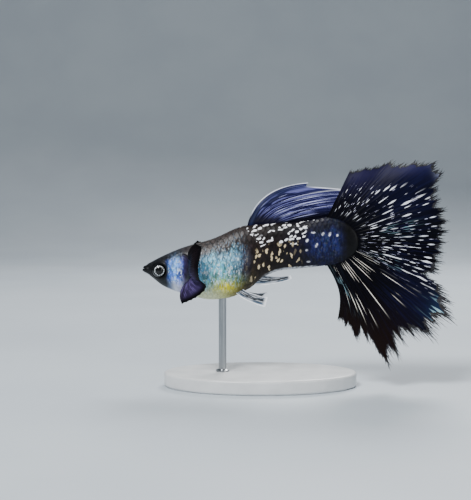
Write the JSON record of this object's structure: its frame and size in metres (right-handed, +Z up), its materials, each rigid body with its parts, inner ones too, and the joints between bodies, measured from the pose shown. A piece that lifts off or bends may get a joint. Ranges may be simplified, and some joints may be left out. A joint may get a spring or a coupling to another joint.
{
  "type": "fancy guppy model",
  "caption": "Life-size still model of a male fancy guppy with a fan tail, on one rod over a flat oval base.",
  "frame": {"origin": "middle of the underside of the oval base, on the floor", "axes": "-X is the way the fish swims, +Z is up, -Y is the fish's left side"},
  "size_m": [0.0467, 0.019, 0.0347],
  "materials": {
    "head_skin": "wet, satin sheen",
    "flank_skin": "wet, satin sheen",
    "stalk_skin": "wet, satin sheen",
    "gill_cover": "wet, iridescent",
    "eye": "clear gloss",
    "dorsal_fin": "thin skin on rays",
    "caudal_fin": "thin skin on rays",
    "pectoral_fin": "thin skin on rays",
    "clear_fin": "clear thin skin on rays",
    "stand_base": "satin acrylic",
    "stand_rod": "satin"
  },
  "bodies": {
    "root": {"head": "head_skin", "trunk": "flank_skin", "tail_stalk": "stalk_skin", "eye_left": "eye", "eye_right": "eye", "gill_cover_left": "gill_cover", "gill_cover_right": "gill_cover", "dorsal_fin": "dorsal_fin", "anal_fin": "clear_fin", "pectoral_fin_left": "pectoral_fin", "pectoral_fin_right": "pectoral_fin", "pelvic_fin_left": "clear_fin", "pelvic_fin_right": "clear_fin", "caudal_fin": "caudal_fin", "stand_base": "stand_base", "stand_rod": "stand_rod"}
  },
  "joints": []
}
